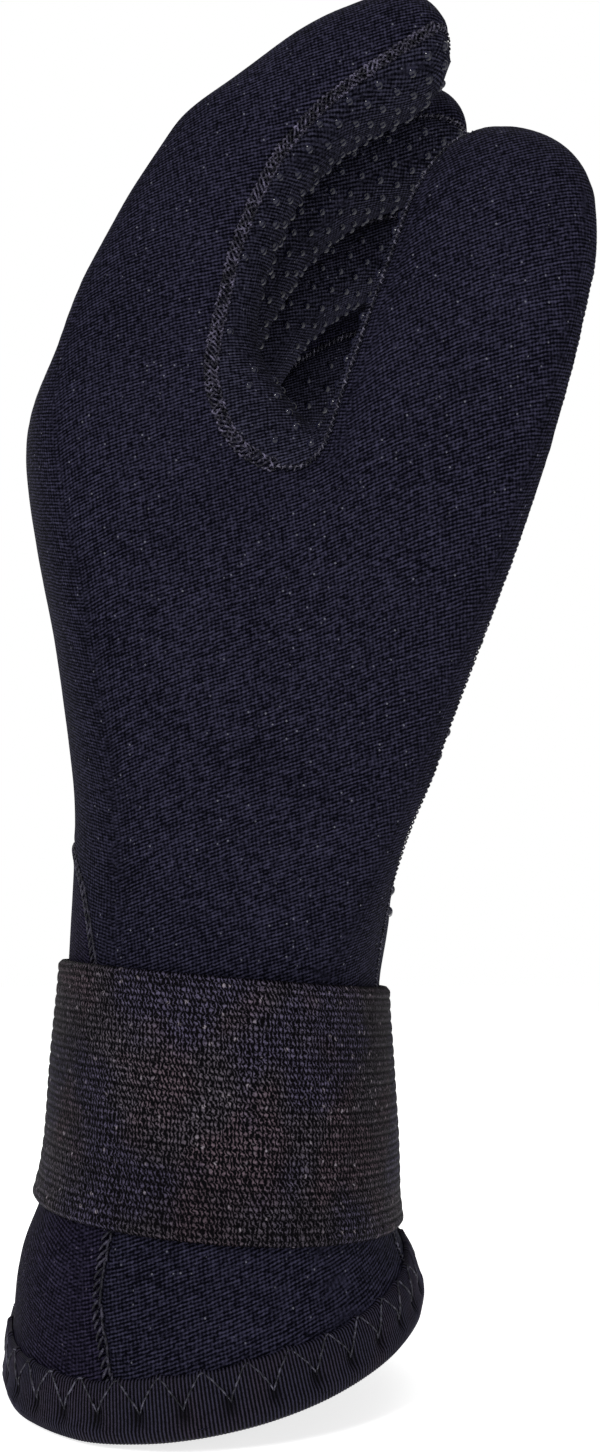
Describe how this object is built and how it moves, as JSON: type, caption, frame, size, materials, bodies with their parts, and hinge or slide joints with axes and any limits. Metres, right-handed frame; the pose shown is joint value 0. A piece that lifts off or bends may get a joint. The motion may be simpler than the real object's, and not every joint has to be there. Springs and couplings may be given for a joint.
{
  "type": "neoprene glove",
  "caption": "Left-hand five-finger neoprene water-sports glove with elastic wrist strap and dotted grip palm, shown filled as on a hand with the fingers curled.",
  "frame": {"origin": "centre of the cuff's opening, in the plane of the neoprene's lower edge", "axes": "+Z from the cuff towards the fingertips, +X towards the palm side, -X the back of the hand, -Y the thumb side, +Y the little finger's side"},
  "size_m": [0.106, 0.1102, 0.2534],
  "materials": {
    "smooth_neoprene": "fine jersey over foam",
    "grip_neoprene": "jersey with raised rubber dots",
    "gusset_neoprene": "fine jersey over foam",
    "elastic_webbing": "ribbed elastic",
    "hook_tab": "brushed loop cloth",
    "binding_tape": "grosgrain"
  },
  "bodies": {
    "root": {"back_panel": "smooth_neoprene", "palm_panel": "grip_neoprene", "wrist_gusset": "gusset_neoprene", "wrist_strap": "elastic_webbing", "strap_tab": "hook_tab", "hem_binding": "binding_tape"}
  },
  "joints": []
}
